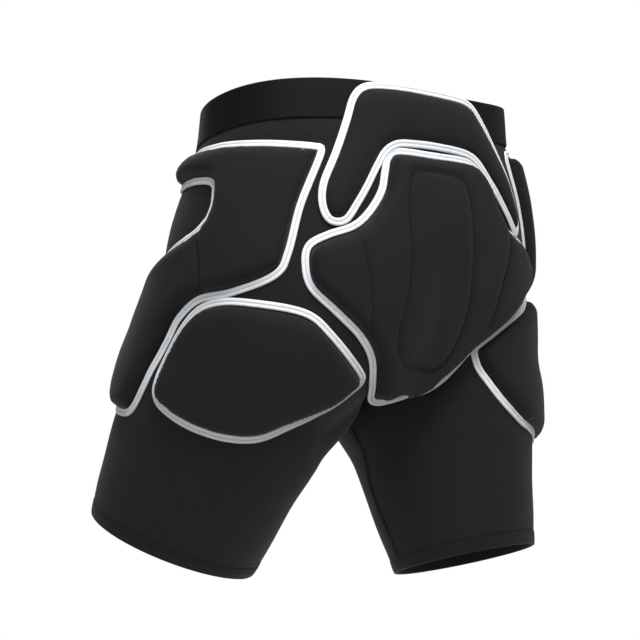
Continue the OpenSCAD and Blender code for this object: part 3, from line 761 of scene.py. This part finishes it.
# ---------------------------------------------------------------- pads
# the seat pad's sewn channels, [t, level]: round its tall middle and across both wings
COLUMN = [[0.072, 78], [0.077, 92], [0.078, 111], [0.078, 135], [0.083, 157], [0.091, 173],
          [0.090, 181], [0.076, 192], [0.055, 206], [0.030, 219], [0.006, 226], [-0.016, 227],
          [-0.036, 223], [-0.050, 211], [-0.052, 188], [-0.047, 161], [-0.037, 128],
          [-0.031, 92], [-0.025, 80], [-0.008, 74.5], [0.030, 73], [0.063, 74.5]]
WING_LEFT = [[0.167, 116], [0.159, 131], [0.150, 145], [0.145, 160], [0.144, 178]]
WING_RIGHT = [[-0.131, 116], [-0.130, 134], [-0.125, 154], [-0.125, 172], [-0.132, 202]]
# a fold across the hip pads, [s, level]
HIP_FOLD = [[0.538, 120], [0.546, 137], [0.553, 152], [0.555, 166]]


def higher(rail):
    """The rail with its rear part raised by 7 mm."""
    return [[s, d - 7 * float(ease(0.55, 0.68, s))] for s, d in rail]


PADS = [
    Pad("seat_pad", 0, SEAT_L, SEAT_R, 15.0, 0.9, ["seat_pad_cover"],
        [(COLUMN, True), (WING_LEFT, False), (WING_RIGHT, False)], wide_ends=True),
    Pad("waist_pad", 0, WAIST_O, WAIST_I, 8.0, 2.1, ["waist_pad_cover"], edge_round=22.0),
    Pad("left_hip_pad", 1, HIP_O, HIP_I, 14.0, 0.9, ["left_hip_pad_cover"], [(HIP_FOLD, False)]),
    Pad("right_hip_pad", -1, RIGHT_HIP_O, HIP_I, 14.0, 0.9, ["right_hip_pad_cover"], [(HIP_FOLD, False)]),
    Pad("left_thigh_pad", 1, THIGH_LT, THIGH_LB, 13.5, 0.9, ["left_thigh_pad_cover"]),
    Pad("right_thigh_pad", -1, higher(THIGH_RT), higher(THIGH_RB), 13.5, 0.9, ["right_thigh_pad_cover"]),
]
FLAT = np.array([GIRTH, 1.0])  # (s, level) to about mm
PAD_STEP = 2.8   # mesh size of the pads
PAD_EDGE = 3.1   # how far a pad's edge stands in from the middle of its tape
PAD_OVER = 7.2   # how much further out it stands where it rolls over the tape
CHANNEL_DEEP, CHANNEL_WIDE = 2.4, 2.6  # of the sewn channels, in mm
UNBLOWN = 0.86   # share of a pad's thickness before the simulation


def inside(poly, pts):
    """Which points lie in a closed polygon."""
    x, y = pts[:, 0, None], pts[:, 1, None]
    a, b = poly[None], np.roll(poly, -1, 0)[None]
    cross = ((a[..., 1] > y) != (b[..., 1] > y)) & (
        x < (b[..., 0] - a[..., 0]) * (y - a[..., 1]) / (b[..., 1] - a[..., 1] + 1e-12) + a[..., 0])
    return cross.sum(1) % 2 == 1


def nearest(pts, others):
    """Distance from each point to the nearest of the others."""
    out = np.empty(len(pts))
    for i in range(0, len(pts), 500):
        out[i:i + 500] = np.linalg.norm(pts[i:i + 500, None] - others[None], axis=-1).min(1)
    return out


def tucked(pad, sd):
    """How far the seat pad's lower end, under the crotch, rolls over its tape: 0 to 1."""
    if pad.name != "seat_pad":
        return np.zeros(len(sd))
    t, d = sd[:, 0], sd[:, 1]
    return ease(-0.086, -0.066, t) * (1 - ease(0.030, 0.070, t)) * ease(236, 246, d)


def softer(pad, sd):
    """How much wider the rounding is at the tip of the seat pad's right wing, in mm."""
    return 14 * ease(0.17, 0.24, -sd[:, 0]) * (pad.name == "seat_pad")


def triangulate(points, lines, rim_n):
    """Triangles inside the rim, with the lines as edges."""
    verts = [Vector((float(x), float(y))) for x, y in points]
    edges = [(int(a), int(b)) for a, b in lines]
    out = delaunay_2d_cdt(verts, edges, [list(range(rim_n))], 1, 1e-4)
    pts = np.array([[v.x, v.y] for v in out[0]])
    tris = [tuple(f) for f in out[2] if len(f) == 3]
    mid = pts[np.array(tris)].mean(1)
    keep = inside(points[:rim_n], mid)
    return pts, [t for t, k in zip(tris, keep) if k]


def pad_points(pad):
    """Flat mesh of a pad in mm: its points, its triangles, and the points of its channels."""
    rim = pad.outline(1.2)
    off = PAD_EDGE - PAD_OVER * tucked(pad, rim)
    rim = rim * FLAT
    t = unit(np.roll(rim, -1, 0) - np.roll(rim, 1, 0))
    area = 0.5 * np.sum(rim[:, 0] * np.roll(rim[:, 1], -1) - np.roll(rim[:, 0], -1) * rim[:, 1])
    inward = np.stack([-t[:, 1], t[:, 0]], -1) * np.sign(area)
    edge = rim + off[:, None] * inward
    edge = edge[(off < 1.5) | (inside(rim, edge) & (nearest(edge, rim) > 0.93 * off))]
    # even spacing again
    closed = np.vstack([edge, edge[:1]])
    run = along(closed)
    n = int(run[-1] / (PAD_STEP * 0.85))
    at_run = np.linspace(0, run[-1], n, endpoint=False)
    edge = np.stack([np.interp(at_run, run, closed[:, k]) for k in (0, 1)], -1)
    lines, pts = [], [edge]
    count = len(edge)
    for points, ring_like in pad.channels:
        n = len(points)
        if ring_like:
            line = spaced(pad, curve(points, np.linspace(0, n, 400, endpoint=False)), PAD_STEP, True)
        else:
            line = spaced(pad, curve(points, np.linspace(0, n - 1, 200)), PAD_STEP)
        line = line * FLAT
        line = line[inside(edge, line) & (nearest(line, edge) > 2.5)]
        k = np.arange(len(line))
        pairs = list(zip(k[:-1] + count, k[1:] + count))
        if ring_like:
            pairs.append((count + len(line) - 1, count))
        lines += pairs
        pts.append(line)
        count += len(line)
    fixed = np.concatenate(pts)
    # between them, rows of points in a triangular pattern
    lo, hi = edge.min(0), edge.max(0)
    cells = []
    for i, y in enumerate(np.arange(lo[1], hi[1], PAD_STEP * 0.866)):
        x = np.arange(lo[0] + (i % 2) * PAD_STEP / 2, hi[0], PAD_STEP)
        cells.append(np.stack([x, np.full(len(x), y)], -1))
    cells = np.concatenate(cells)
    cells = cells[inside(edge, cells) & (nearest(cells, fixed) > 0.62 * PAD_STEP)]
    flat, tris = triangulate(np.concatenate([fixed, cells]), lines, len(edge))
    return flat, tris, fixed[len(edge):]


def pad_cover(pad):
    """A pad's fabric cover: crowned over the foam, drawn down at its edge and channels."""
    flat, tris, channels = pad_points(pad)
    used = np.unique(np.array(tris))
    number = -np.ones(len(flat), int)
    number[used] = np.arange(len(used))
    flat, tris = flat[used], [tuple(number[list(t)]) for t in tris]
    sd = flat / FLAT
    base = pad.surface(sd, 0.0)
    uses = {}
    for a, b, c in tris:
        for e in ((a, b), (b, c), (c, a)):
            e = tuple(sorted(e))
            uses[e] = uses.get(e, 0) + 1
    rim = np.unique([v for e, n in uses.items() if n == 1 for v in e])
    away = nearest(base, base[rim])
    x = np.clip(away / (pad.edge_round + softer(pad, sd)), 0, 1)
    height = 0.5 + (pad.thick * UNBLOWN - 0.5) * np.sqrt(x * (2 - x))
    to_line = np.full(len(sd), 1e3)
    if len(channels):
        to_line = nearest(base, pad.surface(channels / FLAT, 0.0))
    height -= np.where(away > 2, CHANNEL_DEEP * np.exp(-(to_line / CHANNEL_WIDE) ** 2), 0)
    top = pad.surface(sd, height)
    is_rim = np.zeros(len(sd), bool)
    is_rim[rim] = True
    under = np.where(~is_rim)[0]
    low_id = np.arange(len(sd))
    low_id[under] = len(sd) + np.arange(len(under))
    verts = np.concatenate([top, base[under]])
    faces = tris + [tuple(low_id[[c, b, a]]) for a, b, c in tris]
    ob = mesh_object(f"{pad.name}_fabric", verts, faces, np.concatenate([flat, flat[under]]))
    outward(ob)
    # the simulation holds the rim, the channels and the underside, and eases off from the rim
    pinned = np.concatenate([np.where(is_rim | (to_line < 1.4))[0], len(sd) + np.arange(len(under))])
    group = ob.vertex_groups.new(name="pinned")
    group.add(pinned.tolist(), 1.0, "REPLACE")
    soft = np.where(~is_rim & (to_line >= 1.4))[0]
    near = np.clip(1 - (away[soft] - 1.0) / 7.0, 0, 0.6)
    for v, w in zip(soft, near):
        if w > 0.02:
            group.add([int(v)], float(w), "REPLACE")
    return dress(ob, PAD_CLOTH)


def puff(pieces, frames=16, cap=3.2):
    """Blows the pads up a little as cloth, pinned at edges and channels, and caps the move."""
    scene = bpy.context.scene
    rest = {}
    for ob in pieces:
        rest[ob.name] = np.array([v.co for v in ob.data.vertices], float)
        cloth = ob.modifiers.new("cloth", "CLOTH")
        cs = cloth.settings
        cs.quality = 4
        cs.mass = 0.25
        cs.tension_stiffness = 12
        cs.compression_stiffness = 12
        cs.shear_stiffness = 6
        cs.bending_stiffness = 1.5
        cs.use_pressure = True
        cs.uniform_pressure_force = 4.0
        cs.vertex_group_mass = "pinned"
        cs.effector_weights.gravity = 0
        cloth.collision_settings.use_collision = False
        cloth.point_cache.frame_start = 1
        cloth.point_cache.frame_end = frames
    for f in range(1, frames + 1):
        scene.frame_set(f)
    dg = bpy.context.evaluated_depsgraph_get()
    for ob in pieces:
        mesh = ob.evaluated_get(dg).data
        new = np.array([v.co for v in mesh.vertices], float)
        old = rest[ob.name]
        move = new - old
        size = np.linalg.norm(move, axis=1, keepdims=True)
        limit = cap * MM
        move *= limit * np.tanh(size / limit) / np.maximum(size, 1e-9)
        ob.modifiers.clear()
        ob.data.vertices.foreach_set("co", (old + move).astype(np.float32).ravel())
        ob.data.update()
    scene.frame_set(1)


covers = {pad.name: pad_cover(pad) for pad in PADS}
puff(list(covers.values()))

TAPE_HALF = 3.4    # half the tape's width
TAPE_LEAN = 0.13   # its slope up the pad's side
TAPE_SINK = 0.6    # how far it is pressed down under the pad that rolls over it
TAPE_SECTION = [(-3.3, -0.3), (-3.4, 0.3), (-3.05, 0.95), (-2.0, 1.35), (-0.9, 1.2), (-0.3, 0.75),
                (0.3, 0.75), (0.9, 1.2), (2.0, 1.35), (3.05, 0.95), (3.4, 0.3), (3.3, -0.3)]


def tape(pad):
    """White tape bound round a pad's edge, sewn down along its middle."""
    sd = pad.outline(1.7)
    path = pad.surface(sd, 0.0)
    normal = unit(pad.surface(sd, 1.0) - path)
    # its inner edge climbs the pad's side
    across = unit(np.cross(np.roll(path, -1, 0) - np.roll(path, 1, 0), normal))
    inner = np.sign(np.sum(across * (path.mean(0) - path)))
    section = [(x, y + TAPE_LEAN * (TAPE_HALF + inner * x)) for x, y in TAPE_SECTION]
    path = path - TAPE_SINK * tucked(pad, sd)[:, None] * normal
    ob = dress(sweep(f"{pad.name}_tape", path, normal, section), TAPE)
    up = np.vstack([normal, normal[:1]])
    loop = np.vstack([path, path[:1]]) + (0.8 + TAPE_HALF * TAPE_LEAN) * up
    sewn = stitches(f"{pad.name}_tape_stitching", [(loop, up)], 2.7, 2.0, 0.22)
    return ob, dress(sewn, WHITE_THREAD)


tapes = {pad.name: tape(pad) for pad in PADS}


def channel_stitching(pad):
    """Dark thread in the bottom of a pad's sewn channels, laid on its cover."""
    cover = covers[pad.name]
    co = np.array([v.co for v in cover.data.vertices], float) / MM
    rows = []
    for points, ring_like in pad.channels:
        n = len(points)
        u = np.linspace(0, n if ring_like else n - 1, 400)
        line = spaced(pad, curve(points, u), 1.5)
        base = pad.surface(line, 0.0)
        normal = unit(pad.surface(line, 1.0) - base)
        # the cover's own height over each point of the line
        rise = np.empty(len(base))
        for i, (b, z) in enumerate(zip(base, normal)):
            rel = co - b
            up = rel @ z
            off = np.linalg.norm(rel - up[:, None] * z, axis=1)
            close = np.argsort(off)[:6]
            rise[i] = up[close].max()
        rise = np.convolve(np.pad(rise, 2, "edge"), np.ones(5) / 5, "valid")
        rows.append((base + (rise + 0.12)[:, None] * normal, normal))
    sewn = stitches(f"{pad.name}_channel_stitching", rows, 3.0, 2.3, 0.2)
    return dress(sewn, BLACK_THREAD)


channel_threads = {pad.name: channel_stitching(pad) for pad in PADS if pad.channels}


# ---------------------------------------------------------------- foam
def foam_block(pad, name, rows, n=14):
    """A foam block under a cover, from rows of (u, first share, last share) along the rails."""
    rows = np.asarray(rows, float)
    a, b = pad.rails(rows[:, 0])
    q = rows[:, 1:2] + (rows[:, 2:3] - rows[:, 1:2]) * np.linspace(0, 1, n + 1)[None]
    sd = a[:, None] + (b - a)[:, None] * q[..., None]
    base = pad.surface(sd, 0.7)
    rim = pad.surface(pad.outline(2.0), 0.7)
    away = nearest(base.reshape(-1, 3), rim).reshape(base.shape[:2])
    x = np.clip((away - PAD_EDGE - 3) / pad.edge_round, 0, 1)
    height = np.maximum(1.6, 0.6 * pad.thick * np.sqrt(x * (2 - x)))
    top = pad.surface(sd, 0.7 + height)
    weave = sd * FLAT
    ob = slab(name, top, base, weave)
    return dress(ob, FOAM)


def span_rows(pad, start, stop, step, margin, left=None, right=None):
    """Rows of shares that keep a block margin mm inside both rails, and between left and right."""
    rows = []
    for u in np.arange(start, stop + 1e-6, step):
        a, b = pad.rails(u)
        width = np.linalg.norm((b - a) * FLAT)
        lo = min(0.42, margin / width)
        hi = 1 - lo
        if left is not None:
            lo = max(lo, (a[0] - left) / (a[0] - b[0]))
        if right is not None:
            hi = min(hi, (a[0] - right) / (a[0] - b[0]))
        rows.append((u, lo, hi))
    return rows


seat, waist = PADS[0], PADS[1]
foam_spans = {
    "seat_pad_foam_block_centre": (seat, 2.2, 13.8, 0.3, 12, 0.058, -0.066),
    "seat_pad_foam_block_left": (seat, 6.2, 10.4, 0.2, 17, None, 0.074),
    "seat_pad_foam_block_right": (seat, 6.2, 10.4, 0.2, 17, -0.082),
    "waist_pad_foam_block": (waist, 1.6, 14.4, 0.2, 11),
}
for pad in PADS[2:]:
    first = 3.0 if "thigh" in pad.name else 1.6
    foam_spans[f"{pad.name}_foam_block"] = (pad, first, len(pad.a) - 2.8, 0.2, 11)
foams = {name: foam_block(span[0], name, span_rows(*span)) for name, span in foam_spans.items()}

# ---------------------------------------------------------------- what moves with what
for n, k in SIDES.items():
    follow(shells[n])
    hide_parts(f"{n}_pelvis_shell", f"{n}_stretch_panel", f"{n}_leg_shell")
    for ob in (*hems[n], *inseams[n]):
        follow(ob)
    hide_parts(f"{n}_hem_band")
for ob in (face, core, lining, *centre_seam):
    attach(ob, "pelvis")
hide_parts("waistband_face")
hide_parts("waistband_elastic")
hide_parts("waistband_lining")

for pad in PADS:
    own = [covers[pad.name], *tapes[pad.name]]
    if pad.name in channel_threads:
        own.append(channel_threads[pad.name])
    own += [ob for n, ob in foams.items() if n.startswith(pad.name)]
    for ob in own:
        if pad.kind == 0:
            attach(ob, "pelvis")
        else:
            follow(ob)
    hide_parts(f"{pad.name}_cover")
    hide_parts(f"{pad.name}_binding")
for n, ob in foams.items():
    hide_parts(n.replace("_block", ""))

# ---------------------------------------------------------------- floor, light, camera
lo, hi = (np.array(c) for c in cad_box)
middle = (lo + hi) / 2
FLOOR_DROP = 0.17
FLOOR_R = 2.4

floor_mesh = bpy.data.meshes.new("floor")
ring_pts = [(FLOOR_R * math.cos(a), FLOOR_R * math.sin(a), lo[2] - FLOOR_DROP)
            for a in np.linspace(0, 2 * math.pi, 96, endpoint=False)]
floor_mesh.from_pydata(ring_pts, [], [tuple(range(96))])
floor = bpy.data.objects.new("floor", floor_mesh)
bpy.context.scene.collection.objects.link(floor)
paint = Nodes("floor_paint", Roughness=0.9)
paint.bsdf.inputs["Base Color"].default_value = (0.93, 0.93, 0.94, 1)
paint.bsdf.inputs["Specular IOR Level"].default_value = 0.1
paint.bsdf.inputs["Emission Color"].default_value = (1.0, 1.0, 1.0, 1)
paint.bsdf.inputs["Emission Strength"].default_value = 0.45
floor_mesh.materials.append(paint.mat)
floor.visible_diffuse = False  # the object hangs clear of it

scene = bpy.context.scene
scene.view_settings.view_transform = "Standard"
world = bpy.data.worlds.new("studio")
scene.world = world
world.use_nodes = True
sky = world.node_tree
sky.nodes["Background"].inputs["Color"].default_value = (0.125, 0.125, 0.128, 1)
# the backdrop shows white, and lights the object only dimly
shown = sky.nodes.new("ShaderNodeBackground")
shown.inputs["Color"].default_value = (1.0, 1.0, 1.0, 1)
ray = sky.nodes.new("ShaderNodeLightPath")
either = sky.nodes.new("ShaderNodeMixShader")
sky.links.new(ray.outputs["Is Camera Ray"], either.inputs[0])
sky.links.new(sky.nodes["Background"].outputs[0], either.inputs[1])
sky.links.new(shown.outputs[0], either.inputs[2])
sky.links.new(either.outputs[0], sky.nodes["World Output"].inputs[0])

AZIMUTH, ELEVATION = math.radians(139), math.radians(-5)
DISTANCE = 2.3
AIM = np.array([14.5, -32.6, -178.6]) * MM
LENS = 139.1
toward = np.array([math.sin(AZIMUTH) * math.cos(ELEVATION), -math.cos(AZIMUTH) * math.cos(ELEVATION),
                   math.sin(ELEVATION)])
side_way = np.array([math.cos(AZIMUTH), math.sin(AZIMUTH), 0.0])
camera_data = bpy.data.cameras.new("camera")
camera_data.lens = LENS
camera_data.sensor_width = 36
camera = bpy.data.objects.new("camera", camera_data)
scene.collection.objects.link(camera)
camera.location = Vector(AIM + toward * DISTANCE)
camera.rotation_euler = Vector(-toward).to_track_quat("-Z", "Y").to_euler()
scene.camera = camera


def softbox(name, where, size, watts):
    """A square area light that faces the middle of the object."""
    light = bpy.data.lights.new(name, "AREA")
    light.size = size
    light.energy = watts
    ob = bpy.data.objects.new(name, light)
    scene.collection.objects.link(ob)
    ob.location = Vector(where)
    ob.rotation_euler = (Vector(middle) - ob.location).to_track_quat("-Z", "Y").to_euler()


flat_toward = toward * [1, 1, 0]
up = np.array([0, 0, 1.0])
softbox("key", middle + 1.6 * flat_toward + 0.5 * side_way + 1.9 * up, 1.3, 82)
softbox("fill", middle + 2.2 * flat_toward - 0.5 * side_way - 0.3 * up, 1.2, 21)
softbox("front", middle - 1.7 * flat_toward - 0.3 * side_way + 1.4 * up, 1.6, 50)
softbox("top", middle + 2.0 * up, 1.4, 30)
